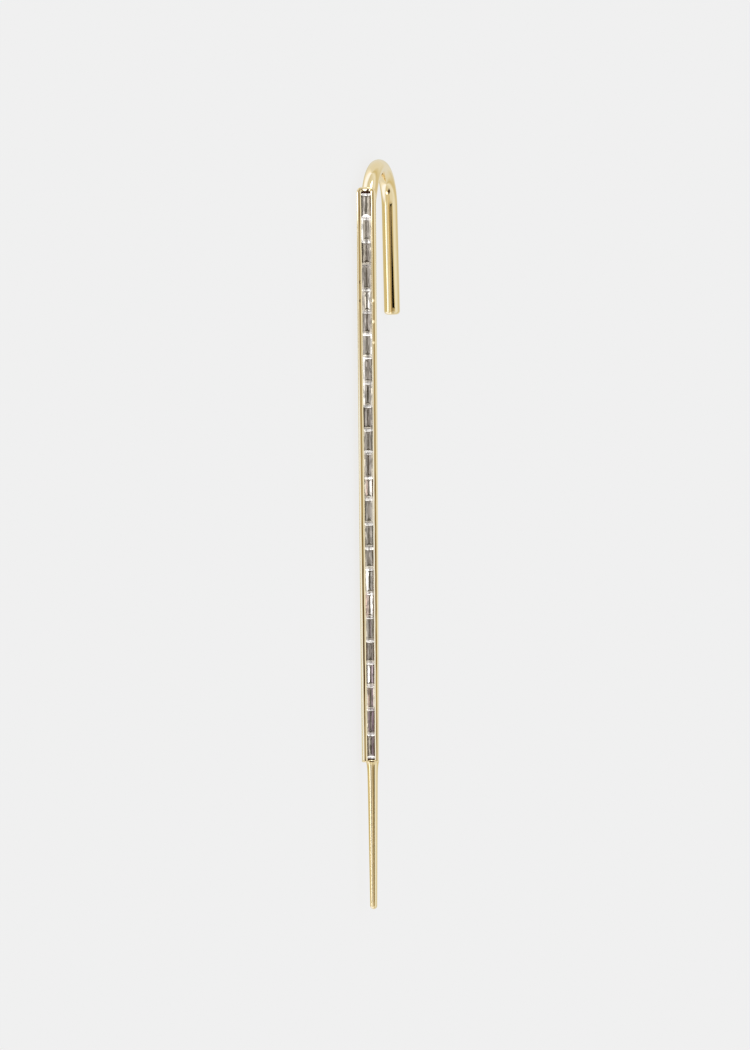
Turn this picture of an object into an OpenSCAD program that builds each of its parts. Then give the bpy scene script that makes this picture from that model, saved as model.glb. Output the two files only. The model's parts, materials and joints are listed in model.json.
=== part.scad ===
// Ear pin: a channel set with straight baguettes, a wire hook over its top and a tapered post below.
// It is built along X with the hook at -X and the stones facing -Y, then laid on its side as it rests on a table.

/* [Stones] */
// Width of the stone nearest the hook, over its girdle
stone_w_hook = 1; // [0.8:0.01:1.1]
// Width that the row narrows to at the post end
stone_w_post = 0.9; // [0.7:0.01:1]
// Height of the crown, from the girdle to the table
crown_h = 0.15; // [0.1:0.01:0.16]
// Thickness of the girdle
girdle_h = 0.03; // [0.02:0.01:0.04]
// Depth of the pavilion, from the girdle to the keel
pavilion_h = 0.49; // [0.4:0.01:0.5]
// Clearance between neighbouring stones, and round each stone in its groove
stone_gap = 0.02; // [0.01:0.005:0.03]

/* [Channel setting] */
// Depth of the setting, front to back
setting_depth = 1.7; // [1.5:0.05:2]
// Metal left outside the groove at each side of a stone
side_wall = 0.32; // [0.2:0.01:0.35]
// Width of the side metal at the post end
side_wall_post = 0.26; // [0.15:0.01:0.3]
// How far the lip reaches in over the girdle
lip_in = 0.05; // [0.03:0.01:0.06]
// Thickness of the lip
lip_h = 0.12; // [0.08:0.01:0.13]
// Height of the groove under the lip that seats the girdle
groove_h = 0.19; // [0.18:0.01:0.22]
// Metal at the end of the opening next to the hook
hook_end_wall = 0.32; // [0.25:0.01:0.5]
// Metal at the end of the opening next to the post
post_end_wall = 0.22; // [0.18:0.01:0.5]
// Open length between the hook end of the opening and the first stone
hook_end_space = 0.22; // [0.15:0.01:0.3]
// Open length between the last stone and the post end of the opening
post_end_space = 0.12; // [0.05:0.01:0.2]
// Corner radius of the setting's hook end, seen from the front
end_corner_r = 0.4; // [0.2:0.05:0.6]
// Corner radius of the opening's hook end
opening_corner_r = 0.2; // [0.05:0.05:0.2]

/* [Hook] */
// Diameter of the hook wire
wire_d = 1.35; // [1.2:0.05:1.5]
// Radius of the bend, to the middle of the wire
bend_r = 3.6; // [3.2:0.01:4.2]
// Rise of the bend's top above the setting, to the middle of the wire
hook_rise = 1.75; // [1.5:0.01:2]
// Depth of the bend's front limb behind the middle of the setting
hook_back = 0.88; // [0.8:0.01:1]
// Length of the wire's slanted root inside the setting
root_l = 2.2; // [2.1:0.05:2.4]
// Angle by which the leg leans away from the setting
leg_splay = 3.6; // [1:0.1:6]
// Length of the straight leg behind the setting
leg_l = 9.23; // [7:0.01:11]
// Chamfer round the leg's free end
leg_chamfer = 0.15; // [0.05:0.01:0.3]
// Angle between the hook's plane and the way that the stones face
face_turn = 15; // [0:0.5:20]

/* [Post] */
// Diameter of the post where it leaves the setting
post_d_root = 1.03; // [0.9:0.01:1.1]
// Diameter below the soldered flare
post_d_neck = 0.91; // [0.8:0.01:1]
// Diameter at the start of the rounded point
post_d_point = 0.6; // [0.5:0.01:0.8]
// Length of the soldered flare
flare_l = 1.2; // [0.8:0.1:2]
// Length of the post with its point
post_l = 12.56; // [8:0.01:16]

/* [Hidden] */
$fn = 48;
// Lengths of the stones, read one by one along the row from the hook end
STONE_L = [
    2.1, 1.9, 2.05, 2.05, 1.9, 1.85, 2, 2.15, 1.95, 2, 2, 2.05,
    1.8, 2.1, 2.05, 1.8, 2.05, 2.05, 1.95, 1.9, 1.95, 1.95, 2.1, 2.1
];
STONES = len(STONE_L);

// Cut of the stones: how far each step is set in from the girdle, along the stone and across it
table_in = [0.19, 0.19];
crown_step_in = [0.08, 0.08];
crown_step_share = 0.53;
pavilion_step_in = [0.22, 0.2];
pavilion_step_share = 0.49;
keel_end_in = 0.5;

// Clearance of the girdle under the lip and of the keel over the well's floor, and the post's depth in the metal
lip_clearance = 0.07;
well_clearance = 0.06;
post_sunk = 0.2;

// How much the wire's root is filed down, and how far it runs up into the bend
root_filed = 0.02;
root_lap = 0.2;

// Places along the row, from the setting's hook end
row_start = hook_end_wall + hook_end_space;
function total(values, count) = count == 0 ? 0 : values[count - 1] + total(values, count - 1);
function stone_start(i) = row_start + total(STONE_L, i) + i * stone_gap;
row_end = stone_start(STONES - 1) + STONE_L[STONES - 1];
setting_l = row_end + post_end_space + post_end_wall;

// Half widths, which narrow evenly from the hook end to the post end
function along(x, at_hook, at_post) = at_hook + (at_post - at_hook) * x / setting_l;
function half_stone(x) = along(x, stone_w_hook, stone_w_post) / 2;
function half_groove(x) = half_stone(x) + stone_gap;
function half_opening(x) = half_stone(x) - lip_in;
function half_setting(x) = half_groove(x) + along(x, side_wall, side_wall_post);

// Depths below the setting's front face
girdle_top = lip_h + lip_clearance;
girdle_floor = girdle_top + girdle_h;
table_top = girdle_top - crown_h;
keel_bottom = girdle_floor + pavilion_h;
well_floor = keel_bottom + well_clearance;

// The bend meets the setting's hook end at the slant of its root, and runs round to the leg
wire_r = wire_d / 2;
bend_x = bend_r - hook_rise;
bend_y = hook_back + bend_r;
root_slant = asin(bend_x / bend_r);
leg_end_x = bend_x - bend_r * sin(leg_splay) + leg_l * cos(leg_splay);
leg_end_y = bend_y + bend_r * cos(leg_splay) + leg_l * sin(leg_splay);

// The pin lies on its side, on the setting's lowest long edge and on the end of the leg
function corner_y(x, turn) = setting_depth / 2 * cos(turn) - half_setting(x) * sin(turn);
function corner_drop(x, turn) = setting_depth / 2 * sin(turn) + half_setting(x) * cos(turn);
rest_pitch = atan((half_setting(0) - half_setting(setting_l)) * cos(face_turn) / setting_l);
leg_across = leg_end_y - corner_y(0, face_turn);
leg_above = corner_drop(0, face_turn) - leg_end_x * tan(rest_pitch);
rest_roll = atan2(leg_above, leg_across) - asin(wire_r / norm([leg_across, leg_above]));
rest_turn = face_turn + rest_roll;

// Middle of the laid pin's outline on the table, and the height of its axis at the hook end
hook_top_x = -hook_rise - wire_r;
point_x = setting_l + post_l;
front_y = -setting_depth / 2 * cos(rest_turn) - half_setting(0) * sin(rest_turn);
back_y = leg_end_y * cos(rest_roll) + wire_r;
middle = [(hook_top_x + point_x) / 2, (front_y + back_y) / 2];
axis_height = corner_drop(0, rest_turn);

GOLD = [0.87, 0.74, 0.45];
DIAMOND = [0.78, 0.79, 0.8, 0.7];

function two_digits(i) = str(i < 10 ? "0" : "", i);
function stone_name(i) = str("baguette_", two_digits(i + 1));

// Turns the pin onto its side, with the middle of its outline over the origin
module laid() {
    translate([-middle.x, -middle.y, axis_height])
        rotate([0, rest_pitch, 0])
            rotate([-rest_roll, 0, 0])
                children();
}

// Turns the setting and its stones away from the hook's plane
module faced() {
    rotate([-face_turn, 0, 0])
        children();
}

// A prism with an outline seen from the front, between two depths below the front face
module front_prism(top, bottom) {
    translate([0, bottom - setting_depth / 2, 0])
        rotate([90, 0, 0])
            linear_extrude(height = bottom - top)
                children();
}

// A long outline with rounded corners at its hook end, whose sides follow the half widths given for its two ends
module tapered_outline(start, end, corner_r, half_start, half_end) {
    corner_x = start + corner_r;
    corner_y = half_start - corner_r;
    polygon([
        [corner_x, -half_start],
        [end, -half_end],
        [end, half_end],
        [corner_x, half_start]
    ]);
    translate([start, -corner_y])
        square([2 * corner_r, 2 * corner_y]);
    for (side = [-1, 1])
        translate([corner_x, side * corner_y])
            circle(r = corner_r);
}

module setting_block() {
    front_prism(0, setting_depth)
        tapered_outline(0, setting_l, end_corner_r, half_setting(end_corner_r), half_setting(setting_l));
}

// The opening and well, and the wider groove under the lip that seats the girdles
module channel() {
    start = hook_end_wall;
    end = row_end + post_end_space;
    front_prism(-wire_d, well_floor)
        tapered_outline(start, end, opening_corner_r, half_opening(start), half_opening(end));
    groove_start = row_start - stone_gap;
    groove_end = row_end + stone_gap;
    front_prism(lip_h, lip_h + groove_h)
        polygon([
            [groove_start, -half_groove(groove_start)],
            [groove_end, -half_groove(groove_end)],
            [groove_end, half_groove(groove_end)],
            [groove_start, half_groove(groove_start)]
        ]);
}

// A straight run of wire along X, touching the bend on one side of its middle and turned by an angle
module off_bend(angle, side) {
    translate([bend_x, bend_y, 0])
        rotate([0, 0, angle])
            translate([0, side * bend_r, 0])
                rotate([0, 90, 0])
                    children();
}

// The bend, the leg behind the setting, and the root that is filed a little slimmer to go into the setting
module hook() {
    translate([bend_x, bend_y, 0])
        rotate([0, 0, 90 + leg_splay])
            rotate_extrude(angle = 180 - root_slant - leg_splay)
                translate([bend_r, 0])
                    circle(r = wire_r);
    off_bend(leg_splay, 1) {
        cylinder(h = leg_l - leg_chamfer, r = wire_r);
        translate([0, 0, leg_l - leg_chamfer])
            cylinder(h = leg_chamfer, r1 = wire_r, r2 = wire_r - leg_chamfer);
    }
    off_bend(-root_slant, -1)
        translate([0, 0, -root_lap])
            cylinder(h = root_lap + root_l, r = wire_r - root_filed);
}

// The tapered post, turned about its axis, with a flare at the solder and a rounded point
module post() {
    point_r = post_d_point / 2;
    point_arc = [for (a = [0 : 15 : 75]) [point_r * cos(a), post_l - point_r + point_r * sin(a)]];
    translate([setting_l, 0, 0])
        rotate([0, 90, 0])
            rotate_extrude()
                polygon(concat(
                    [[0, -post_sunk], [post_d_root / 2, -post_sunk], [post_d_root / 2, 0], [post_d_neck / 2, flare_l]],
                    point_arc,
                    [[0, post_l]]
                ));
}

module pin_frame() {
    color(GOLD)
        laid() {
            difference() {
                union() {
                    faced()
                        setting_block();
                    hook();
                    post();
                }
                faced()
                    channel();
            }
        }
}

// One level of a stone's cut: its four corners, set in from the girdle's length and width
function cut_ring(i, in, depth) =
    let (
        x0 = stone_start(i) + in[0],
        x1 = stone_start(i) + STONE_L[i] - in[0],
        z = half_stone(stone_start(i) + STONE_L[i]) - in[1],
        y = depth - setting_depth / 2
    )
    [[x0, y, -z], [x1, y, -z], [x1, y, z], [x0, y, z]];

// A straight baguette: table, two crown steps, girdle and two pavilion steps down to a keel
module baguette(i) {
    keel_y = keel_bottom - setting_depth / 2;
    rings = concat(
        cut_ring(i, table_in, table_top),
        cut_ring(i, crown_step_in, girdle_top - crown_h * crown_step_share),
        cut_ring(i, [0, 0], girdle_top),
        cut_ring(i, [0, 0], girdle_floor),
        cut_ring(i, pavilion_step_in, girdle_floor + pavilion_h * pavilion_step_share)
    );
    last = len(rings) - 4;
    keel = len(rings);
    table = [[3, 2, 1, 0]];
    steps = [
        for (ring = [0 : 4 : last - 4], j = [0 : 3])
            let (k = (j + 1) % 4)
            [ring + j, ring + k, ring + 4 + k, ring + 4 + j]
    ];
    keel_faces = [
        [last, last + 1, keel + 1, keel],
        [last + 1, last + 2, keel + 1],
        [last + 2, last + 3, keel, keel + 1],
        [last + 3, last, keel]
    ];
    keel_points = [
        [stone_start(i) + keel_end_in, keel_y, 0],
        [stone_start(i) + STONE_L[i] - keel_end_in, keel_y, 0]
    ];
    color(DIAMOND)
        laid()
            faced()
                polyhedron(points = concat(rings, keel_points), faces = concat(table, steps, keel_faces));
}

pin_frame();
for (i = [0 : STONES - 1])
    baguette(i);
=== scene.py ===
# Ear pin: polished gold frame, a row of step-cut diamonds, a pale studio and the photograph's view of it.
import json
import math
import bpy
import bmesh
import numpy as np
from mathutils import Matrix, Vector


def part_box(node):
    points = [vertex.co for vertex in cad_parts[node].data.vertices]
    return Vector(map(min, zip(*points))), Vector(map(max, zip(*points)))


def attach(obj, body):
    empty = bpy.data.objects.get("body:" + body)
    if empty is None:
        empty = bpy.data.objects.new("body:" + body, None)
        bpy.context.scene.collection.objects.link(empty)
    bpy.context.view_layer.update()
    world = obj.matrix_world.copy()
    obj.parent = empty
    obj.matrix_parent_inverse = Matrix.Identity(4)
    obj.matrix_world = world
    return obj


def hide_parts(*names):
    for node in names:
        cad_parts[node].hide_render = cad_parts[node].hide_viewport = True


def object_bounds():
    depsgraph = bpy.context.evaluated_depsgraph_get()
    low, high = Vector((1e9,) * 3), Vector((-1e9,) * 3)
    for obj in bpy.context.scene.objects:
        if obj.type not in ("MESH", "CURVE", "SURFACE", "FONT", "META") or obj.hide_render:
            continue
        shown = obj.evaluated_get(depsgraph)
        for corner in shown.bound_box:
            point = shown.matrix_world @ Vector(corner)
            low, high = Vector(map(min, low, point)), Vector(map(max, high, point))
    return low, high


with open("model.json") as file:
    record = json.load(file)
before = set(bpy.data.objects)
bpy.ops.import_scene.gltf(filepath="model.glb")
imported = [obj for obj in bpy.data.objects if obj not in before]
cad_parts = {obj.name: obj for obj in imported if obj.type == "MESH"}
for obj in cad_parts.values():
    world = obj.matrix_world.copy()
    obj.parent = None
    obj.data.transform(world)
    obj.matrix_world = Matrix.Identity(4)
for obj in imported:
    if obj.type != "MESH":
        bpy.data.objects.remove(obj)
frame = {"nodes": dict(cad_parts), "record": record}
cad_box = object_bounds()

MM = 0.001

# The photograph's view: the camera looks from the front and a little from above, turned on its side
CAMERA_ELEVATION = math.radians(16.7)
CAMERA_LEAN = math.radians(0.58)
LENS_MM = 1000
SENSOR_MM = 36
CLIP_M = (0.05, 20)
VIEW_HEIGHT = 89.74 * MM
LOOK_RIGHT = 0.52 * MM
LOOK_UP = 0.77 * MM

# The setting, in a section across the bar: widths at its hook end and at its post end
STONE_W = (1.0 * MM, 0.9 * MM)
SIDE_WALL = (0.265 * MM, 0.22 * MM)
SIDE_SWELL = 0.06 * MM
STONE_GAP = 0.02 * MM
LIP_IN = (0.085 * MM, 0.14 * MM)
# The opening over the stones wanders to one side of the bar towards the post
OPENING_ASIDE = (0.0, 0.045 * MM)
LIP_H = 0.12 * MM
GROOVE_H = 0.19 * MM
GROOVE_END_IN = (0.05 * MM, 0.1 * MM)
WELL_SIDE_IN = 0.04 * MM
SETTING_DEPTH = 1.7 * MM
WELL_DEPTH = 0.77 * MM
HOOK_END_WALL = 0.32 * MM
HOOK_END_SPACE = 0.22 * MM
POST_END_WALL = 0.19 * MM
OUTER_CORNER = (0.4 * MM, 0.08 * MM)
OPENING_CORNER = (0.2 * MM, 0.05 * MM)
BACK_EDGE_R = 0.1 * MM
# The rim in section, in millimetres for a rim of RIM_W: a filed slope up from the side, a crown that falls
# a little inwards, and a smaller slope down to the lip. Where the rim is narrower, all of it is smaller.
# Each flat has a point just inside its edges, so that its shading stays flat. Towards the post the outer
# slope grows wider on the left side and the slope to the lip on both. Over the post the outer slope takes
# most of the rim, and over the hook the other.
RIM_W = 0.4 * MM
RIM_FROM_SIDE = np.array((
    # in from the side and below the front at the hook end, on the left of the post end, and over the post
    (0.0, 0.12, 0.0, 0.1327, 0.0, 0.18), (0.004, 0.098, 0.004, 0.1077, 0.004, 0.155),
    (0.015, 0.072, 0.015, 0.0817, 0.015, 0.127), (0.03, 0.054, 0.03, 0.0614, 0.03, 0.1065),
    (0.034, 0.0519, 0.034, 0.0592, 0.034, 0.1043), (0.101, 0.0161, 0.115, 0.0161, 0.2, 0.0161),
    (0.105, 0.014, 0.12, 0.014, 0.204, 0.014), (0.115, 0.009, 0.13, 0.009, 0.214, 0.009),
    (0.128, 0.003, 0.14, 0.003, 0.227, 0.003), (0.145, 0.0, 0.155, 0.0, 0.244, 0.0),
    (0.15, 0.00016, 0.16, 0.00016, 0.249, 0.00016),
))
RIM_TO_LIP = np.array((
    # out from the lip and below the front at the hook end, at the post end, and over the hook
    (0.12, 0.00485, 0.135, 0.00485, 0.215, 0.002), (0.115, 0.005, 0.13, 0.005, 0.21, 0.0025),
    (0.105, 0.009, 0.12, 0.009, 0.2, 0.0065), (0.092, 0.016, 0.107, 0.016, 0.187, 0.0135),
    (0.088, 0.0181, 0.103, 0.0181, 0.183, 0.0156), (0.016, 0.0569, 0.016, 0.0644, 0.016, 0.1044),
    (0.012, 0.059, 0.012, 0.0665, 0.012, 0.1065), (0.003, 0.068, 0.003, 0.075, 0.003, 0.115),
    (0.0, 0.085, 0.0, 0.092, 0.0, 0.125),
))
# The slow wave along the lips: its height, the lengths in millimetres and the phases that its sines are
# drawn from, the number of sines, what their sum is divided by, and the seeds of the right lip and the left
LIP_WAVE = 0.01 * MM
WAVE_LENGTHS = (0.9, 6)
WAVE_PHASES = (0, 6.28)
WAVES = 5
WAVE_SHARE = 3
WAVE_SEEDS = (3, 5)
# Small burnished nicks in the rims, by side and distance in millimetres from the bar's hook end. They are a
# little longer across the rim than along it, and lie on the part of the rim that is no deeper than RIM_TOP.
NICKS = (("left", 8.1), ("left", 9.7), ("right", 9.7), ("right", 11.5), ("right", 13.3))
NICK_DEPTH = 0.028 * MM
NICK_R = 0.085 * MM
NICK_FROM_LIP = 0.06 * MM
NICK_NARROWING = 0.8
RIM_TOP = 0.07 * MM
# How far the front is turned up from the floor at the two ends of the hand-twisted bar
FRONT_TURN = (math.radians(14.1), math.radians(19.3))
# The twisted bar stands a little higher than its ends alone would need, because its sides swell
BAR_RISE = 0.01 * MM

# Cut of the stones: depths below the setting's front, how far the steps are set in from the ends, and the
# half widths, of the crown as steps in from the lips and of the pavilion as shares of the opening
TABLE_DEPTH = 0.04 * MM
CROWN_DEPTH = 0.145 * MM
GIRDLE_DEPTH = 0.205 * MM
GIRDLE_H = 0.03 * MM
TABLE_END_IN = 0.09 * MM
CROWN_END_IN = 0.05 * MM
PAVILION_DEPTHS = (0.38 * MM, 0.6 * MM)
PAVILION_END_IN = (0.19 * MM, 0.36 * MM)
TABLE_SIDE_IN = 0.03 * MM
CROWN_SIDE_IN = 0.02 * MM
PAVILION_WIDTHS = (0.7, 0.2)
KEEL_DEPTH = 0.71 * MM
KEEL_IN = 0.44 * MM
# How a stone differs from its neighbours, by random numbers whose seed is a first one plus its number: how
# far its keel lies aside and its steps up or down, in millimetres, the share of the usual distance that the
# steps are set in from the ends, and the slopes of its seat across and along the row, each as a usual and a
# largest one
FIRST_SEED = 100
KEEL_SHIFT = 0.03
STEP_SHIFT = 0.02
STEP_STRETCH = (0.6, 1.2)
TILT = (0.012, 0.02)
NOD = (0.006, 0.009)

# The hook and the post
ROOT_L = 2.2 * MM
ROOT_UNDER_WELL = 0.05 * MM
LEG_CHAMFER = 0.15 * MM
LEG_EDGE_R = 0.3 * MM
POST_SUNK = 0.2 * MM
POST_ASIDE = 0.19 * MM
POST_R_ROOT = 0.55 * MM
POST_R_NECK = 0.455 * MM
POST_R_POINT = 0.3 * MM
FLARE_L = 0.35 * MM
FLARE_END = 6 * FLARE_L

# How finely the surfaces are drawn: points along the bar's sides, round its corners, over half an end and
# round an edge, the rings up its sides as shares of their height, and the points and rings of the hook and
# the post
SIDE_STATIONS = 420
CORNER_STEPS = 10
END_STEPS = 6
EDGE_STEPS = 6
SIDE_RINGS = (0.3, 0.6, 0.85)
TUBE_STEPS = 48
ROOT_RINGS = 12
BEND_RINGS = 72
LEG_RINGS = 24
FLARE_RINGS = 24
TAPER_RINGS = 20
POINT_RINGS = 10
# A corner that is set in keeps at least this radius
SMALLEST_CORNER = 0.01 * MM
# Points that are closer than the first are merged, and edges shorter than the second are dissolved
MERGE_WITHIN = 0.0004 * MM
SLIVER = 0.0002 * MM
# Edges of the gold that turn by more than this are sharp
SHARP_TURN = math.radians(38)

mounts = {mount["name"]: mount for mount in frame["record"]["mounts"]}


def mount_place(name):
    """Where a mount of the frame's record is."""
    return np.array(mounts[name]["pos_m"])


def mount_axis(name):
    """A mount's direction, of unit length."""
    axis = np.array(mounts[name]["axis"])
    return axis / np.linalg.norm(axis)


def mount_size(name, dim):
    """One of a mount's sizes, which the record gives in millimetres."""
    return mounts[name]["dims"][dim] * MM


# The pin's own directions: along it from hook to point, square to the hook's plane, and back from the stones
UP = np.array([0.0, 0.0, 1.0])
ALONG = mount_axis("piercing_post")
SIDE = mount_axis("ear_hook")
BACK = np.cross(SIDE, ALONG)
FLOOR_UP = UP - ALONG * (UP @ ALONG)
FLOOR_UP = FLOOR_UP / np.linalg.norm(FLOOR_UP)
FLOOR_BACK = np.cross(FLOOR_UP, ALONG)

stone_nodes = sorted(name for name in frame["nodes"] if name.startswith("baguette_"))
floor_z = cad_box[0].z
wire_r = mount_size("hook_leg", "r_mm")
leg_l = mount_size("hook_leg", "length_mm") + LEG_CHAMFER
bend_r = mount_size("ear_hook", "r_mm") + wire_r
post_l = mount_size("piercing_post", "length_mm")
post_start = mount_place("piercing_post") - ALONG * post_l / 2
bar_l = (post_start[0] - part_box(stone_nodes[0])[0].x) / ALONG[0] + HOOK_END_WALL + HOOK_END_SPACE
bar_start = post_start - ALONG * bar_l


def at_ends(ends, x):
    """A size that changes evenly from its value at the bar's hook end to its value at the post end."""
    return ends[0] + (ends[1] - ends[0]) * x / bar_l


# Half widths of the setting's parts at a distance x from the bar's hook end
def half_stone(x):
    return at_ends(STONE_W, x) / 2


def half_opening(x):
    return half_stone(x) - at_ends(LIP_IN, x)


def half_groove(x):
    return half_stone(x) + STONE_GAP


def half_well(x):
    return half_stone(x) - WELL_SIDE_IN


def half_setting(x):
    """The sides taper evenly and swell a little in the middle of the bar, as a parabola."""
    share = x / bar_l
    return half_groove(x) + at_ends(SIDE_WALL, x) + SIDE_SWELL * 4 * share * (1 - share)


def contact_height(x):
    """Height of the bar's middle over the floor where its rounded back edge rests on it."""
    turn = at_ends(FRONT_TURN, x)
    deep = SETTING_DEPTH / 2 - BACK_EDGE_R
    wide = half_setting(x) - BACK_EDGE_R
    return deep * np.sin(turn) + wide * np.cos(turn) + BACK_EDGE_R


# The twisted bar rises a little towards the post so that its back edge stays on the floor
bar_lift = floor_z + contact_height(bar_l) - post_start[2]


def bar_point(x, across, depth):
    """The middle of the bar at x, plus a step across the row and a step back from the front face, both turned
    by the bar's twist at x."""
    turn = at_ends(FRONT_TURN, x)[..., None]
    sideways = np.cos(turn) * FLOOR_UP + np.sin(turn) * FLOOR_BACK
    backwards = np.cos(turn) * FLOOR_BACK - np.sin(turn) * FLOOR_UP
    middle = bar_start + x[..., None] * ALONG + (BAR_RISE + bar_lift * x / bar_l)[..., None] * UP
    return middle + across[..., None] * sideways + (depth - SETTING_DEPTH / 2)[..., None] * backwards


def grid_faces(rings, steps):
    """Four-sided faces between each ring of points and the next, each ring closed on itself."""
    ring, step = np.meshgrid(np.arange(rings - 1), np.arange(steps), indexing="ij")
    following = (step + 1) % steps
    corners = [ring * steps + step, ring * steps + following,
               (ring + 1) * steps + following, (ring + 1) * steps + step]
    return np.stack(corners, axis=-1).reshape(-1, 4)


def closed_mesh(name, points, faces):
    """A mesh whose coinciding points are merged and whose faces point outwards."""
    mesh = bpy.data.meshes.new(name)
    mesh.from_pydata(points.reshape(-1, 3).tolist(), [], faces.tolist())
    work = bmesh.new()
    work.from_mesh(mesh)
    bmesh.ops.remove_doubles(work, verts=work.verts, dist=MERGE_WITHIN)
    bmesh.ops.dissolve_degenerate(work, edges=work.edges, dist=SLIVER)
    bmesh.ops.recalc_face_normals(work, faces=work.faces)
    work.to_mesh(mesh)
    work.free()
    return mesh


def new_object(name, mesh):
    """An object at the origin that shows a mesh or another block of data."""
    piece = bpy.data.objects.new(name, mesh)
    bpy.context.scene.collection.objects.link(piece)
    return piece


def outline(start, end, half, corners, inset=0.0):
    """A closed loop round the front: two long sides at the given half width, joined over the ends by round
    corners, and the whole set in by an inset. Every loop has the same number of points in the same order."""
    start = start + inset
    end = end - inset
    r_start = max(corners[0] - inset, SMALLEST_CORNER)
    r_end = max(corners[1] - inset, SMALLEST_CORNER)
    side_x = np.linspace(start + r_start, end - r_end, SIDE_STATIONS)
    side_half = half(side_x) - inset
    turn = np.linspace(0, math.pi / 2, CORNER_STEPS)[1:-1]
    start_x = start + r_start - r_start * np.cos(turn)
    start_half = side_half[0] - r_start + r_start * np.sin(turn)
    end_x = end - r_end + r_end * np.sin(turn)
    end_half = side_half[-1] - r_end + r_end * np.cos(turn)
    start_edge = np.linspace(0, side_half[0] - r_start, END_STEPS)
    end_edge = np.linspace(side_half[-1] - r_end, 0, END_STEPS)
    x = np.concatenate([np.full(END_STEPS, start), start_x, side_x, end_x, np.full(END_STEPS, end)])
    across = np.concatenate([start_edge, start_half, side_half, end_half, end_edge])
    return np.stack([np.concatenate([x, x[-2:0:-1]]), np.concatenate([across, -across[-2:0:-1]])], axis=-1)


def hand_wave(x, seed):
    """A slow uneven wave along the bar: a share of the sum of sines with seeded lengths and phases."""
    random = np.random.default_rng(seed)
    lengths = random.uniform(*WAVE_LENGTHS, WAVES) * MM
    phases = random.uniform(*WAVE_PHASES, WAVES)
    waves = [np.sin(2 * math.pi * x / length + phase) for length, phase in zip(lengths, phases)]
    return sum(waves) / WAVE_SHARE


def setting_mesh():
    """The channel setting as one closed surface: a section of back, side, rim, lip, groove and well,
    carried round the front's outline. The rim follows its tables from the side and to the lip, which is
    worn into a slow wave, and its nicks are dents of a bell curve's shape."""
    opening_start = HOOK_END_WALL
    opening_end = bar_l - POST_END_WALL
    outer = outline(0, bar_l, half_setting, OUTER_CORNER)
    opening = outline(opening_start, opening_end, half_opening, OPENING_CORNER)
    groove = outline(opening_start + GROOVE_END_IN[0], opening_end - GROOVE_END_IN[1],
                     half_groove, OPENING_CORNER)
    well = outline(opening_start, opening_end, half_well, OPENING_CORNER)
    side_sign = np.sign(opening[:, 1])
    right_wave, left_wave = (hand_wave(opening[:, 0], seed) for seed in WAVE_SEEDS)
    opening[:, 1] += side_sign * LIP_WAVE * np.where(side_sign > 0, right_wave, left_wave)
    opening[:, 1] += at_ends(OPENING_ASIDE, opening[:, 0])
    spine = outer.copy()
    spine[:, 0] = np.clip(outer[:, 0], half_setting(0), bar_l - half_setting(bar_l))
    spine[:, 1] = 0
    well_spine = spine.copy()
    well_spine[:, 0] = np.clip(opening[:, 0], opening_start + half_opening(0),
                               opening_end - half_opening(bar_l))

    rings = [(spine, SETTING_DEPTH)]
    for turn in np.linspace(0, math.pi / 2, EDGE_STEPS):
        inset = BACK_EDGE_R * (1 - math.sin(turn))
        depth = SETTING_DEPTH - BACK_EDGE_R * (1 - math.cos(turn))
        rings.append((outline(0, bar_l, half_setting, OUTER_CORNER, inset), depth))
    side_top = RIM_FROM_SIDE[0, 3] * MM
    for share in SIDE_RINGS:
        rings.append((outer, SETTING_DEPTH - BACK_EDGE_R - share * (SETTING_DEPTH - BACK_EDGE_R - side_top)))
    inwards = (opening - outer) / RIM_W
    scale = np.hypot(*inwards.T)
    to_post = outer[:, :1] / bar_l
    on_left = (1 - outer[:, 1:] / half_setting(outer[:, :1])) / 2
    over_post = 1 - ((bar_l - outer[:, :1]) / OUTER_CORNER[1]).clip(0, 1)
    over_hook = 1 - ((opening[:, :1] - opening_start) / OPENING_CORNER[0]).clip(0, 1)
    for table, start, sign, side_part, end_part in ((RIM_FROM_SIDE, outer, 1, to_post * on_left, over_post),
                                                    (RIM_TO_LIP, opening, -1, to_post, over_hook)):
        for row in table * MM:
            on_side = row[:2] + (row[2:4] - row[:2]) * side_part
            distance, depth = (on_side + (row[4:] - on_side) * end_part).T
            rings.append((start + sign * inwards * distance[:, None], depth * scale))
    groove_depth = LIP_H + GROOVE_H
    rings += [(opening, LIP_H), (groove, LIP_H), (groove, groove_depth), (well, groove_depth),
              (well, WELL_DEPTH), (well_spine, WELL_DEPTH)]

    loops = np.stack([loop for loop, depth in rings])
    depths = np.stack([np.broadcast_to(depth, loops.shape[1]) for loop, depth in rings])
    on_rim = depths < RIM_TOP
    for side, place in NICKS:
        across = (1 if side == "right" else -1) * (half_opening(place * MM) + NICK_FROM_LIP)
        away = np.hypot(loops[..., 0] - place * MM, (loops[..., 1] - across) * NICK_NARROWING)
        depths = depths + on_rim * NICK_DEPTH * np.exp(-(away / NICK_R) ** 2)
    points = bar_point(loops[..., 0], loops[..., 1], depths)
    return closed_mesh("setting", points, grid_faces(*loops.shape[:2]))


def tube(path, tangents, radii):
    """Rings of a round tube: each is the path's point plus the radius times a direction that turns once
    round, from square to the hook's plane through the plane. A radius of nothing closes an end."""
    turn = np.linspace(0, 2 * math.pi, TUBE_STEPS, endpoint=False)
    square = np.cross(tangents, SIDE)
    rings = np.cos(turn)[None, :, None] * SIDE + np.sin(turn)[None, :, None] * square[:, None, :]
    return path[:, None, :] + radii[:, None, None] * rings


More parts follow.
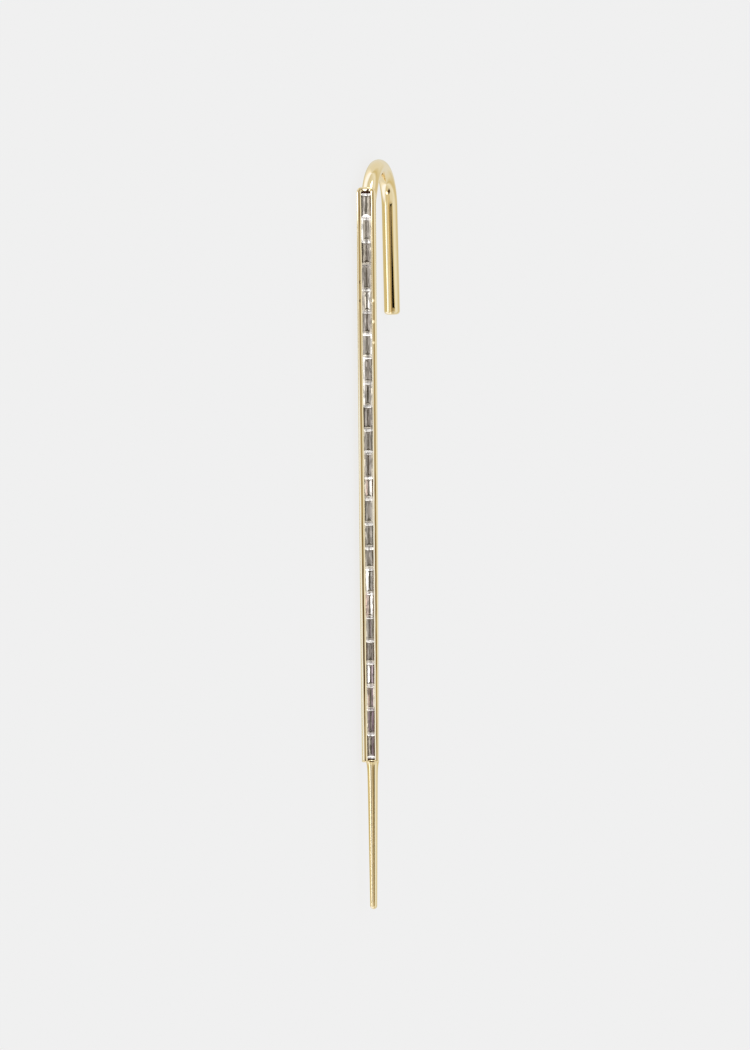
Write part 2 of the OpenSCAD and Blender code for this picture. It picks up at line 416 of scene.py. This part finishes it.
def hook_mesh():
    """The hook's wire: a straight root that slants into the setting, an arc over the top and a straight leg
    with a rounded end."""
    middle = mount_place("ear_hook")
    leg_axis = mount_axis("hook_leg")
    splay = math.atan2(leg_axis @ BACK, leg_axis @ ALONG)
    slant = math.asin((middle - bar_start) @ ALONG / bend_r)
    turn = np.linspace(1.5 * math.pi - slant, math.pi / 2 + splay, BEND_RINGS)[:, None]
    bend = middle + bend_r * (np.cos(turn) * ALONG + np.sin(turn) * BACK)
    bend_tangents = np.sin(turn) * ALONG - np.cos(turn) * BACK
    root_steps = np.linspace(ROOT_L, 0, ROOT_RINGS, endpoint=False)[:, None]
    root = bend[0] - root_steps * bend_tangents[0]
    leg_steps = np.linspace(0, leg_l - LEG_EDGE_R, LEG_RINGS)[1:, None]
    leg = bend[-1] + leg_steps * leg_axis
    edge = np.linspace(0, math.pi / 2, EDGE_STEPS + 2)[1:, None]
    leg_end = bend[-1] + (leg_l - LEG_EDGE_R + LEG_EDGE_R * np.sin(edge)) * leg_axis
    path = np.concatenate([root[:1], root, bend, leg, leg_end, leg_end[-1:]])
    tangents = np.concatenate([np.repeat(bend_tangents[:1], len(root) + 1, axis=0), bend_tangents,
                               np.repeat(leg_axis[None], len(leg) + len(leg_end) + 1, axis=0)])
    radii = np.full(len(path), wire_r)
    radii[0] = 0
    radii[-1] = 0
    radii[-len(leg_end) - 1:-1] = wire_r - LEG_EDGE_R * (1 - np.cos(edge[:, 0]))
    points = tube(path, tangents, radii)
    # Inside the setting the wire is filed flat, clear of the well under the stones
    turn = FRONT_TURN[0]
    backwards = math.cos(turn) * FLOOR_BACK - math.sin(turn) * FLOOR_UP
    from_start = points - bar_start
    depth = from_start @ backwards + SETTING_DEPTH / 2
    too_shallow = np.clip(WELL_DEPTH + ROOT_UNDER_WELL - depth, 0, None)
    too_shallow = too_shallow * (from_start @ ALONG > HOOK_END_WALL)
    points = points + too_shallow[..., None] * backwards
    return closed_mesh("hook", points, grid_faces(len(path), TUBE_STEPS))


def post_mesh():
    """The post, turned about its axis: the radius falls evenly to the point, with a flare that fades from the
    solder as an exponential, and the point is a half ball."""
    straight_l = post_l - POST_R_POINT
    steps = np.concatenate([[-POST_SUNK], np.linspace(0, FLARE_END, FLARE_RINGS),
                            np.linspace(FLARE_END, straight_l, TAPER_RINGS)[1:]])
    share = np.clip(steps / straight_l, 0, 1)
    radii = POST_R_NECK + (POST_R_POINT - POST_R_NECK) * share
    radii = radii + (POST_R_ROOT - POST_R_NECK) * np.exp(-np.clip(steps, 0, None) / FLARE_L)
    point = np.linspace(0, math.pi / 2, POINT_RINGS)[1:]
    steps = np.concatenate([steps[:1], steps, straight_l + POST_R_POINT * np.sin(point)])
    radii = np.concatenate([[0], radii, POST_R_POINT * np.cos(point)])
    radii[-1] = 0
    start = bar_point(np.array(bar_l), np.array(POST_ASIDE), np.array(SETTING_DEPTH / 2))
    path = start + steps[:, None] * ALONG
    points = tube(path, np.repeat(ALONG[None], len(path), axis=0), radii)
    return closed_mesh("post", points, grid_faces(len(path), TUBE_STEPS))


def fused(name, meshes):
    """One solid from several closed ones, joined as solder joins them."""
    pieces = [new_object(name + "_part", mesh) for mesh in meshes]
    for other in pieces[1:]:
        union = pieces[0].modifiers.new("union", "BOOLEAN")
        union.operation = "UNION"
        union.solver = "EXACT"
        union.object = other
    bpy.context.view_layer.update()
    joined = pieces[0].evaluated_get(bpy.context.evaluated_depsgraph_get())
    whole = bpy.data.meshes.new_from_object(joined)
    whole.name = name
    for piece in pieces:
        bpy.data.objects.remove(piece)
    return whole


class Wire:
    """A socket of a shader's tree, on which Python's sums add Math nodes."""

    def __init__(self, tree, socket=None):
        self.tree = tree
        self.socket = socket

    def node(self, kind, settings=None, sockets=None, output=0):
        """Adds a node of a kind, with its settings first and then the values or links of its sockets."""
        made = self.tree.nodes.new(kind)
        for key, value in (settings or {}).items():
            if key == "stops":
                fill_ramp(made.color_ramp, value)
            else:
                setattr(made, key, value)
        for key, value in (sockets or {}).items():
            if isinstance(value, Wire):
                self.tree.links.new(value.socket, made.inputs[key])
            else:
                made.inputs[key].default_value = value
        return Wire(self.tree, made.outputs[output]) if made.outputs else made

    def math(self, operation, *values):
        return self.node("ShaderNodeMath", {"operation": operation}, dict(enumerate((self, *values))))

    def mix(self, first, second):
        """Blends two colours by this wire."""
        return self.node("ShaderNodeMix", {"data_type": "RGBA"}, {0: self, 6: first, 7: second}, output=2)

    def __add__(self, other):
        return self.math("ADD", other)

    def __sub__(self, other):
        return self.math("SUBTRACT", other)

    def __mul__(self, other):
        return self.math("MULTIPLY", other)

    def __rsub__(self, other):
        return self.node("ShaderNodeMath", {"operation": "SUBTRACT"}, {0: other, 1: self})

    __radd__ = __add__
    __rmul__ = __mul__


def fill_ramp(ramp, stops):
    """Gives a ramp its stops: (place, colour) pairs in order."""
    while len(ramp.elements) > 1:
        ramp.elements.remove(ramp.elements[-1])
    ramp.elements[0].position = stops[0][0]
    ramp.elements[0].color = (*stops[0][1], 1)
    for place, colour in stops[1:]:
        ramp.elements.new(place).color = (*colour, 1)


def new_material(name):
    """An empty material and the wire that adds its nodes."""
    material = bpy.data.materials.new(name)
    material.use_nodes = True
    material.node_tree.nodes.clear()
    return material, Wire(material.node_tree)


def grey(value):
    """A colour with the same value in its three parts."""
    return (value, value, value)


# Colours of the gold: pale where the polish is fresh, a little deeper in patches, and a painted shade, dark
# brown, in the channel under the stones
GOLD_PALE = (0.94, 0.775, 0.46, 1)
GOLD_DEEP = (0.93, 0.74, 0.41, 1)
GOLD_WELL_SHADE = (0.1, 0.045, 0.04, 1)
# Its roughness: least on the hook and the setting, more over the post, and a little more in the fine marks
POLISH = 0.03
POST_POLISH = 0.13
MARK_POLISH = 0.04
# The pattern of the gold: how much it is drawn out along the pin, the fineness of its patches, marks and
# ripple, and the strength and height of the bumps that the last two make
DRAWN_OUT = (0.22, 1, 1)
PATCH_SCALE = 900.0
MARK_SCALE = 16000.0
RIPPLE_SCALE = 1500.0
MARK_BUMP = (0.12, 0.004 * MM)
RIPPLE_BUMP = (0.5, 0.02 * MM)


def gold_material():
    """Polished gold: a pale yellow that deepens in soft patches, a roughness that follows the polishing and
    grows over the post, and a bump of fine marks along the wire over a slow ripple from the hand."""
    material, tree = new_material("polished_gold")
    place = tree.node("ShaderNodeTexCoord", output="Object")
    drawn = tree.node("ShaderNodeMapping", {}, {"Vector": place, "Scale": DRAWN_OUT})
    patches = tree.node("ShaderNodeTexNoise", {}, {"Vector": drawn, "Scale": PATCH_SCALE, "Detail": 3.0})
    marks = tree.node("ShaderNodeTexNoise", {}, {"Vector": drawn, "Scale": MARK_SCALE, "Detail": 4.0})
    ripple = tree.node("ShaderNodeTexNoise", {}, {"Vector": drawn, "Scale": RIPPLE_SCALE, "Detail": 1.0})
    along = tree.node("ShaderNodeSeparateXYZ", {}, {"Vector": place}, output="X")
    on_post = along.node("ShaderNodeMapRange", {"interpolation_type": "SMOOTHSTEP"}, {
        "Value": along, "From Min": float(post_start[0]), "From Max": float(post_start[0] + post_l / 2)})
    # painted shade: the gold turns dark brown in the channel under the stones, where shade falls
    in_well = tree.node("ShaderNodeAttribute", {"attribute_name": "in_well"}, output="Fac")
    colour = in_well.mix(patches.mix(GOLD_PALE, GOLD_DEEP), GOLD_WELL_SHADE)
    roughness = POLISH + on_post * POST_POLISH + marks * MARK_POLISH
    fine = tree.node("ShaderNodeBump", {}, {
        "Strength": MARK_BUMP[0], "Distance": MARK_BUMP[1], "Height": marks})
    normal = tree.node("ShaderNodeBump", {}, {
        "Strength": RIPPLE_BUMP[0], "Distance": RIPPLE_BUMP[1], "Height": ripple, "Normal": fine})
    shader = tree.node("ShaderNodeBsdfPrincipled", {}, {
        "Base Color": colour, "Metallic": 1.0, "Roughness": roughness, "Normal": normal})
    tree.node("ShaderNodeOutputMaterial", {}, {"Surface": shader})
    return material


# Clear diamond: its index of refraction and the tone that it lets through
DIAMOND_IOR = 2.417
DIAMOND_CLEAR = 0.97
# Painted reflections: the tones that the facets of the pavilion glow with as emission, seen through the
# table, in place of what they mirror
PAINTED_REFLECTION_TONES = {
    "white": (1.5, 1.46, 1.4), "pale": (0.66, 0.6, 0.5), "grey": (0.4, 0.37, 0.34),
    "taupe": (0.25, 0.22, 0.2), "dark": (0.04, 0.034, 0.03), "black": (0.0, 0.0, 0.0),
    "mauve": (0.24, 0.17, 0.21), "pink": (0.62, 0.44, 0.37), "brown": (0.05, 0.02, 0.008),
}
# The facets by side of the stone, for the two steps and the keel, and the painted reflection that each has in
# most stones
FACET_PAINTED_REFLECTIONS = (
    ("left strip", "pale"), ("post end", "pale"), ("right strip", "pale"), ("hook end", "white"),
    ("left", "grey"), ("post step", "dark"), ("right", "grey"), ("hook step", "taupe"),
    ("left keel", "dark"), ("post keel", "dark"), ("right keel", "taupe"), ("hook keel", "dark"),
)
# Stones whose painted reflections stand out from the row
STONE_PAINTED_REFLECTIONS = {
    1: {"left strip": "dark", "right": "pale", "right strip": "brown", "post end": "white",
        "post step": "white"},
    2: {"left strip": "white", "left": "pale"},
    3: {"left strip": "dark", "left": "pale", "left keel": "taupe"},
    4: {"left strip": "grey", "hook end": "grey"},
    5: {"left": "pale", "right": "white", "left strip": "grey"},
    6: {"left strip": "grey"},
    7: {"right strip": "white", "left strip": "grey"},
    8: {"left keel": "taupe", "left strip": "white", "right strip": "dark"},
    9: {"left strip": "white", "left keel": "black", "right keel": "black"},
    10: {"left strip": "dark", "right strip": "grey"},
    11: {"left keel": "black", "post end": "white", "right strip": "dark"},
    13: {"left": "pink", "left keel": "black", "right": "white", "right strip": "brown"},
    14: {"left keel": "taupe", "post step": "black", "left strip": "dark"},
    15: {"right strip": "dark"},
    16: {"left": "taupe", "right strip": "brown"},
    17: {"left": "white", "left keel": "black", "right keel": "black", "hook step": "black",
         "right strip": "brown"},
    18: {"left strip": "pink", "left": "pink", "right": "white", "right strip": "brown"},
    19: {"left keel": "black", "right keel": "mauve", "right strip": "brown"},
    20: {"left strip": "brown", "right strip": "brown", "left keel": "taupe", "right": "taupe"},
    21: {"left strip": "black", "left": "white", "right": "mauve", "right strip": "brown"},
    22: {"left": "pink", "right": "mauve", "left keel": "black"},
    23: {"left": "mauve", "right": "mauve", "right strip": "brown"},
    24: {"left strip": "brown", "left": "pale", "right": "mauve", "left keel": "black",
         "right strip": "brown", "post end": "white", "post step": "grey"},
}
# The table, crown and girdle have these faces, and they are clear
CLEAR_FACES = 13
# How much of a pavilion facet's look is its painted reflection, a tone that glows as emission, and the rest
# is what it really mirrors
PAINTED_REFLECTION_SHARE = 0.85
# How far a facet's painted reflection strays from its name's, and how fine and bright the painted streaks of
# glint in it are
PAINTED_REFLECTION_SPREAD = (0.8, 1.2)
STREAK_SCALE = (2200.0, 9000.0, 9000.0)
PAINTED_GLINT_FLICKER = ((0, 0.3), (0.25, 0.7), (0.5, 1), (0.8, 1.2), (1, 2.0))


def diamond_material():
    """Clear diamond with its own index of refraction, mixed on the pavilion's facets with a painted
    reflection: a tone that each of them glows with as emission, in place of the light it throws back. That
    painted reflection is broken into short streaks, each lighter or darker than its neighbours, as the pieces
    of other facets that a facet mirrors are."""
    material, tree = new_material("step_cut_diamond")
    tone = tree.node("ShaderNodeAttribute", {"attribute_name": "facet_tone"}, output="Color")
    share = tree.node("ShaderNodeAttribute", {"attribute_name": "facet_tone"}, output="Alpha")
    place = tree.node("ShaderNodeTexCoord", output="Object")
    streaks = tree.node("ShaderNodeMapping", {}, {"Vector": place, "Scale": STREAK_SCALE})
    pieces = tree.node("ShaderNodeTexVoronoi", {"feature": "F1"}, {"Vector": streaks, "Scale": 1.0},
                       output="Color")
    chance = tree.node("ShaderNodeSeparateColor", {}, {"Color": pieces}, output="Red")
    stops = [(mark, grey(brightness)) for mark, brightness in PAINTED_GLINT_FLICKER]
    flicker = tree.node("ShaderNodeValToRGB", {"stops": stops}, {"Fac": chance})
    tone = tree.node("ShaderNodeVectorMath", {"operation": "MULTIPLY"}, {0: tone, 1: flicker},
                     output="Vector")
    clear = tree.node("ShaderNodeBsdfPrincipled", {}, {
        "Base Color": (*grey(DIAMOND_CLEAR), 1), "Metallic": 0.0, "Roughness": 0.0, "IOR": DIAMOND_IOR,
        "Transmission Weight": 1.0})
    # painted reflection: each pavilion facet's tone glows as emission on a black base, standing in for the
    # light that it mirrors
    bright = tree.node("ShaderNodeBsdfPrincipled", {}, {
        "Base Color": (0, 0, 0, 1), "Roughness": 1.0, "Specular IOR Level": 0.0, "Emission Color": tone,
        "Emission Strength": 1.0})
    shader = tree.node("ShaderNodeMixShader", {}, {"Fac": share, 1: clear, 2: bright})
    tree.node("ShaderNodeOutputMaterial", {}, {"Surface": shader})
    return material


def painted_reflections_by_facet(number, random):
    """The painted reflection of each face of a stone, a colour that it glows with, and in the fourth place
    the share of that colour in its look.
    """
    apart = STONE_PAINTED_REFLECTIONS.get(number, {})
    rows = [(*PAINTED_REFLECTION_TONES["white"], 0.0)] * CLEAR_FACES
    for facet, usual in FACET_PAINTED_REFLECTIONS:
        tone = np.array(PAINTED_REFLECTION_TONES[apart.get(facet, usual)]) * random.uniform(*PAINTED_REFLECTION_SPREAD)
        rows.append((*tone, PAINTED_REFLECTION_SHARE))
    return rows


def step_cut_mesh(number, node):
    """One straight baguette: four-cornered rings from the table down to the last pavilion step, closed by a
    keel line. Its keel, steps and seat differ a little from its neighbours', as hand-cut stones do."""
    random = np.random.default_rng(FIRST_SEED + number)
    low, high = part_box(node)
    start = (low.x - bar_start[0]) / ALONG[0]
    end = (high.x - bar_start[0]) / ALONG[0]
    half = half_stone(end)
    keel_shift = random.uniform(-KEEL_SHIFT, KEEL_SHIFT) * MM
    step_shift = random.uniform(-STEP_SHIFT, STEP_SHIFT, len(PAVILION_DEPTHS)) * MM
    stretch = random.uniform(*STEP_STRETCH)
    shown = half_opening(end)
    aside = at_ends(OPENING_ASIDE, end)
    levels = [(TABLE_DEPTH, TABLE_END_IN, aside, shown - TABLE_SIDE_IN),
              (CROWN_DEPTH, CROWN_END_IN, aside, shown - CROWN_SIDE_IN),
              (GIRDLE_DEPTH, 0, 0, half), (GIRDLE_DEPTH + GIRDLE_H, 0, 0, half)]
    levels += [(depth + shift, end_in * stretch, aside, shown * width) for depth, shift, end_in, width
               in zip(PAVILION_DEPTHS, step_shift, PAVILION_END_IN, PAVILION_WIDTHS)]
    rings = [[(start + end_in, middle - width, depth), (end - end_in, middle - width, depth),
              (end - end_in, middle + width, depth), (start + end_in, middle + width, depth)]
             for depth, end_in, middle, width in levels]
    keel_middle = aside + keel_shift
    keel = [(start + KEEL_IN, keel_middle, KEEL_DEPTH), (end - KEEL_IN, keel_middle, KEEL_DEPTH)]
    corners = np.array(sum(rings, []) + keel)
    tilt, nod = (np.clip(random.normal(0, usual), -largest, largest) for usual, largest in (TILT, NOD))
    middle_x = (start + end) / 2
    depth = corners[:, 2] + tilt * corners[:, 1] + nod * (corners[:, 0] - middle_x)
    points = bar_point(corners[:, 0], corners[:, 1], depth)
    # The table, the faces between the rings, and the last four down to the keel's two ends
    last = 4 * (len(rings) - 1)
    faces = [[3, 2, 1, 0]]
    faces += [[ring + side, ring + (side + 1) % 4, ring + 4 + (side + 1) % 4, ring + 4 + side]
              for ring in range(0, last, 4) for side in range(4)]
    keel_start, keel_end = last + 4, last + 5
    faces += [[last, last + 1, keel_end, keel_start], [last + 1, last + 2, keel_end],
              [last + 2, last + 3, keel_start, keel_end], [last + 3, last, keel_start]]
    mesh = bpy.data.meshes.new("diamond")
    mesh.from_pydata(points.tolist(), [], faces)
    work = bmesh.new()
    work.from_mesh(mesh)
    bmesh.ops.recalc_face_normals(work, faces=work.faces)
    work.to_mesh(mesh)
    work.free()
    # painted reflections, one colour per face, stored on the stone's corners
    tones = mesh.attributes.new("facet_tone", "FLOAT_COLOR", "CORNER")
    corners_of = [face.loop_total for face in mesh.polygons]
    colours = np.repeat(np.array(painted_reflections_by_facet(number, random), np.float32), corners_of, axis=0)
    tones.data.foreach_set("color", colours.ravel())
    return mesh


# The channel's gold is painted dark, as painted shade, from this share of the lips' height down to just under
# its floor, and a little past its sides, its hook end and its post end
WELL_SHADE_FROM = 0.9 * LIP_H
WELL_SHADE_BELOW = 0.05 * MM
WELL_SHADE_ASIDE = 0.03 * MM
WELL_SHADE_PAST_ENDS = (0.05 * MM, 0.1 * MM)


def paint_well_shade(mesh):
    """Marks the channel's walls and floor, where the gold is painted dark as painted shade in the hollow."""
    points = np.empty(3 * len(mesh.vertices), np.float32)
    mesh.vertices.foreach_get("co", points)
    from_start = points.reshape(-1, 3) - bar_start
    x = from_start @ ALONG
    turn = at_ends(FRONT_TURN, x)
    up = from_start @ FLOOR_UP - BAR_RISE - bar_lift * x / bar_l
    back = from_start @ FLOOR_BACK
    across = np.cos(turn) * up + np.sin(turn) * back
    depth = np.cos(turn) * back - np.sin(turn) * up + SETTING_DEPTH / 2
    inside = (depth > WELL_SHADE_FROM) & (depth < WELL_DEPTH + WELL_SHADE_BELOW)
    inside &= np.abs(across) < half_groove(x) + WELL_SHADE_ASIDE
    inside &= (x > HOOK_END_WALL - WELL_SHADE_PAST_ENDS[0]) & (x < bar_l - POST_END_WALL + WELL_SHADE_PAST_ENDS[1])
    # the painted shade mark: 1 inside the channel, where the gold is painted dark
    mesh.attributes.new("in_well", "FLOAT", "POINT").data.foreach_set("value", inside.astype(np.float32))


def dress(piece, material, slot, *nodes):
    """Gives a finished piece its material, hangs it on the root body and hides the parts of model.glb that it
    replaces.
    """
    piece.data.materials.clear()
    piece.data.materials.append(material)
    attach(piece, "root")
    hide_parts(*nodes)


gold = gold_material()
frame_mesh = fused("gold_frame", [setting_mesh(), hook_mesh(), post_mesh()])
frame_mesh.shade_smooth()
frame_mesh.set_sharp_from_angle(angle=SHARP_TURN)
paint_well_shade(frame_mesh)
gold_frame = new_object("gold_frame", frame_mesh)
dress(gold_frame, gold, "gold", "pin_frame")

diamond = diamond_material()
for number, node in enumerate(stone_nodes, 1):
    stone = new_object(f"diamond_{number:02d}", step_cut_mesh(number, node))
    dress(stone, diamond, "diamond", node)


# The camera's own directions
camera_back = np.array([0.0, -math.cos(CAMERA_ELEVATION), math.sin(CAMERA_ELEVATION)])
level_right = np.array([0.0, math.sin(CAMERA_ELEVATION), math.cos(CAMERA_ELEVATION)])
TO_POINT = np.array([1.0, 0.0, 0.0])
camera_right = math.cos(CAMERA_LEAN) * level_right + math.sin(CAMERA_LEAN) * TO_POINT
camera_up = math.sin(CAMERA_LEAN) * level_right - math.cos(CAMERA_LEAN) * TO_POINT

camera_data = bpy.data.cameras.new("camera")
camera_data.lens = LENS_MM
camera_data.sensor_width = SENSOR_MM
camera = new_object("camera", camera_data)
camera_distance = VIEW_HEIGHT * LENS_MM / SENSOR_MM
bar_middle = bar_start - ALONG * (bar_start[0] / ALONG[0])
look_at = bar_middle + LOOK_RIGHT * camera_right + LOOK_UP * camera_up
eye = look_at + camera_distance * camera_back
turned = Matrix(np.stack([camera_right, camera_up, camera_back], axis=1).tolist())
camera.matrix_world = Matrix.Translation(Vector(eye)) @ turned.to_4x4()
camera_data.clip_start, camera_data.clip_end = CLIP_M
bpy.context.scene.camera = camera
bpy.context.scene.view_settings.view_transform = "Standard"

# The floor and the backdrop
BACKDROP = 0.871
FLOOR_SIZE = 3.0
FLOOR_ALBEDO = 0.08


def floor_material():
    """A pale floor lit from within as well as from above, so that shadows on it stay faint."""
    material, tree = new_material("pale_floor")
    shader = tree.node("ShaderNodeBsdfPrincipled", {}, {
        "Base Color": (*grey(FLOOR_ALBEDO), 1), "Roughness": 1.0, "Specular IOR Level": 0.0,
        "Emission Color": (1, 1, 1, 1), "Emission Strength": BACKDROP - FLOOR_ALBEDO})
    tree.node("ShaderNodeOutputMaterial", {}, {"Surface": shader})
    return material


half_floor = FLOOR_SIZE / 2
floor_mesh = bpy.data.meshes.new("floor")
floor_corners = [(-half_floor, -half_floor, floor_z), (half_floor, -half_floor, floor_z),
                 (half_floor, half_floor, floor_z), (-half_floor, half_floor, floor_z)]
floor_mesh.from_pydata(floor_corners, [], [[0, 1, 2, 3]])
floor = new_object("floor", floor_mesh)
floor_mesh.materials.append(floor_material())
floor.visible_glossy = False
floor.visible_transmission = False

# Tones of the boards and cloths that stand round the pin
WHITE_CARD = (3.0, 3.3, 4.2)
LIT_CARD = (1.0, 1.02, 1.1)
COOL_CARD = (0.92, 1.08, 1.55)
DIM_CARD = (0.68, 0.7, 0.76)
PALE_WALL = (0.81, 0.84, 0.88)
BRIGHT_WALL = (0.9, 0.97, 1.12)
WARM_WALL = (0.66, 0.61, 0.42)
AMBER_CLOTH = (0.42, 0.36, 0.24)
TAN_CLOTH = (0.22, 0.15, 0.07)
OCHRE_CLOTH = (0.16, 0.11, 0.04)
BROWN_CLOTH = (0.06, 0.03, 0.012)
COLD_BOARD = (1.1, 1.25, 1.8)
BACK_WALL = (0.7, 0.68, 0.52)
STONE_BOARD = (1.6, 1.6, 1.6)

# Where they stand for the polish: degrees round the pin, from the camera towards the image's right
METAL_STUDIO = (
    (-180, BACK_WALL), (-112, WARM_WALL), (-70, WARM_WALL), (-68.5, WHITE_CARD), (-63.3, WHITE_CARD),
    (-62.5, DIM_CARD), (-58.5, DIM_CARD), (-56.5, COOL_CARD), (-49, COOL_CARD), (-42, WARM_WALL),
    (-32, WARM_WALL), (-27, LIT_CARD), (-12, LIT_CARD), (-10, AMBER_CLOTH), (-3.5, AMBER_CLOTH),
    (-2.9, TAN_CLOTH), (-0.8, TAN_CLOTH), (-0.3, AMBER_CLOTH), (5, AMBER_CLOTH), (6, OCHRE_CLOTH),
    (7.6, BROWN_CLOTH), (8.8, BROWN_CLOTH), (10, AMBER_CLOTH), (32, AMBER_CLOTH), (36, WARM_WALL),
    (43, WARM_WALL), (50, BRIGHT_WALL), (72, BRIGHT_WALL), (92, PALE_WALL), (120, WARM_WALL),
    (150, PALE_WALL), (180, BACK_WALL),
)
# The same for polish that faces away along the pin, as the bend of the hook does
END_STUDIO = (
    (-180, PALE_WALL), (-150, PALE_WALL), (-130, LIT_CARD), (-112, COLD_BOARD), (-84, COLD_BOARD),
    (-60, PALE_WALL), (-40, WARM_WALL), (-26, PALE_WALL), (-8, PALE_WALL), (8, WARM_WALL), (22, PALE_WALL),
    (60, PALE_WALL), (84, BRIGHT_WALL), (105, WARM_WALL), (130, PALE_WALL), (180, PALE_WALL),
)
# Narrow cards over the pin's two ends, which the end slopes of the rim mirror. For each, the end that it is
# over, how far the directions of its two edges lean along the pin, its two edges round the pin in degrees
# and its tone.
END_CARDS = (
    (-1, 0.785, 0.85, -4, 50, WHITE_CARD), (1, 0.785, 0.85, -50, -5, WHITE_CARD),
    (1, 0.785, 0.9, -5, 50, BROWN_CLOTH),
)
# The lean along the pin over which such a card begins and ends, and over which the ring gives way to the ends
CARD_FADE = (0.025, 0.02)
RING_TO_ENDS = (0.12, 0.5)
# The ring of boards again, for light that comes through the stones
STONE_STUDIO = (
    (-180, (0.5, 0.48, 0.46)), (-120, (0.4, 0.38, 0.36)), (-90, (0.1, 0.09, 0.08)), (-60, (0.9, 0.88, 0.86)),
    (-40, (0.6, 0.58, 0.55)), (-20, (0.3, 0.28, 0.27)), (-8, (0.45, 0.43, 0.41)), (4, (0.35, 0.33, 0.31)),
    (10, (0.05, 0.04, 0.04)), (30, (0.05, 0.04, 0.04)), (40, (0.5, 0.48, 0.46)), (75, (0.4, 0.38, 0.36)),
    (80, STONE_BOARD), (100, STONE_BOARD), (105, (0.3, 0.28, 0.27)), (150, (0.2, 0.19, 0.18)),
    (180, (0.5, 0.48, 0.46)),
)


def studio_ramp(tree, angle, studio):
    """A ramp over the angle round the pin, -180 to 180 degrees, with a studio's tones at their angles."""
    stops = [((mark + 180) / 360, tone) for mark, tone in studio]
    return tree.node("ShaderNodeValToRGB", {"stops": stops}, {"Fac": angle * (1 / 360) + 0.5})


def studio_world():
    """The light: plain for the floor and the backdrop, and for polish and stones a ring of boards and cloths
    round the pin's length, with lit boards at both ends of it."""
    world = bpy.data.worlds.new("studio")
    world.use_nodes = True
    world.node_tree.nodes.clear()
    tree = Wire(world.node_tree)
    direction = tree.node("ShaderNodeTexCoord", output="Generated")

    def share_along(vector):
        """How much of the direction lies along a vector."""
        return tree.node("ShaderNodeVectorMath", {"operation": "DOT_PRODUCT"},
                         {0: direction, 1: tuple(vector)}, output="Value")

    angle = share_along(level_right).math("ARCTAN2", share_along(camera_back)) * (180 / math.pi)
    lengthwise = share_along(TO_POINT)
    off_ring = lengthwise.math("ABSOLUTE")
    ends = off_ring.node("ShaderNodeMapRange", {"interpolation_type": "SMOOTHSTEP"},
                         {"Value": off_ring, "From Min": RING_TO_ENDS[0], "From Max": RING_TO_ENDS[1]})
    metal = studio_ramp(tree, angle, METAL_STUDIO)
    stones = studio_ramp(tree, angle, STONE_STUDIO)
    metal = ends.mix(metal, studio_ramp(tree, angle, END_STUDIO))
    for end, near, far, left, right, tone in END_CARDS:
        marks = ((0, 0), (near - CARD_FADE[0], 0), (near, 1), (far, 1), (far + CARD_FADE[1], 0))
        stops = [(mark, grey(value)) for mark, value in marks]
        card = tree.node("ShaderNodeValToRGB", {"stops": stops}, {"Fac": lengthwise * end})
        card = card * angle.math("GREATER_THAN", left) * angle.math("LESS_THAN", right)
        metal = card.mix(metal, (*tone, 1))
    stones = ends.mix(stones, (*STONE_BOARD, 1))
    is_camera = tree.node("ShaderNodeLightPath", output="Is Camera Ray")
    is_glossy = tree.node("ShaderNodeLightPath", output="Is Glossy Ray")
    is_through = tree.node("ShaderNodeLightPath", output="Is Transmission Ray")
    colour = is_glossy.mix((1, 1, 1, 1), metal)
    colour = is_through.mix(colour, stones)
    colour = is_camera.mix(colour, (*grey(BACKDROP), 1))
    background = tree.node("ShaderNodeBackground", {}, {"Color": colour, "Strength": 1.0})
    tree.node("ShaderNodeOutputWorld", {}, {"Surface": background})
    world.cycles.sampling_method = "NONE"
    bpy.context.scene.world = world


studio_world()

# Black flags that only the polish mirrors: for places along the pin, in millimetres, the angles round it of
# their two edges. The hook's flag is narrow beside the bend and wide at the leg's end, and the post's two
# narrow to the point.
HOOK_FLAG_AWAY = 60 * MM
POST_FLAG_AWAY = 25 * MM
HOOK_FLAG = ((-23.5, 20, 21), (-18.0, 12.5, 28), (-11.5, 0, 43))
POST_FLAG = ((19.6, 26, 45), (25.0, 27, 41), (33.0, 29, 38))
THIN_FLAG = ((19.6, -40, -26), (25.0, -39, -27), (33.0, -38, -28))
# A flag is there only for polish that is as far from it as its own wire is, within this share of the distance
FLAG_REACH = 0.03
FLAG_COLUMNS = 13


def flag(name, middle, away, edges):
    """A strip bent round the pin's length: its points are a distance away from the middle, at even angles
    between the two edges of each place, and there are as many rows of them as places."""
    x, low, high = np.array(edges).T[:, :, None]
    angle = np.radians(low + (high - low) * np.linspace(0, 1, FLAG_COLUMNS))[..., None]
    points = away * (np.cos(angle) * camera_back + np.sin(angle) * level_right)
    points = points + middle * (0, 1, 1) + x[..., None] * MM * TO_POINT
    faces = grid_faces(len(edges), FLAG_COLUMNS).reshape(-1, FLAG_COLUMNS, 4)[:, :-1].reshape(-1, 4)
    mesh = bpy.data.meshes.new(name)
    mesh.from_pydata(points.reshape(-1, 3).tolist(), [], faces.tolist())
    material, tree = new_material(name + "_cloth")
    black = tree.node("ShaderNodeBsdfPrincipled", {}, {
        "Base Color": (0, 0, 0, 1), "Roughness": 1.0, "Specular IOR Level": 0.0})
    clear = tree.node("ShaderNodeBsdfTransparent")
    reach = tree.node("ShaderNodeLightPath", output="Ray Length").math("COMPARE", away, FLAG_REACH * away)
    shader = tree.node("ShaderNodeMixShader", {}, {"Fac": reach, 1: clear, 2: black})
    tree.node("ShaderNodeOutputMaterial", {}, {"Surface": shader})
    mesh.materials.append(material)
    piece = new_object(name, mesh)
    piece.visible_camera = False
    piece.visible_diffuse = False
    piece.visible_transmission = False
    piece.visible_shadow = False


flag("hook_flag", mount_place("hook_leg"), HOOK_FLAG_AWAY, HOOK_FLAG)
flag("post_flag", mount_place("piercing_post"), POST_FLAG_AWAY, POST_FLAG)
flag("thin_flag", mount_place("piercing_post"), POST_FLAG_AWAY, THIN_FLAG)
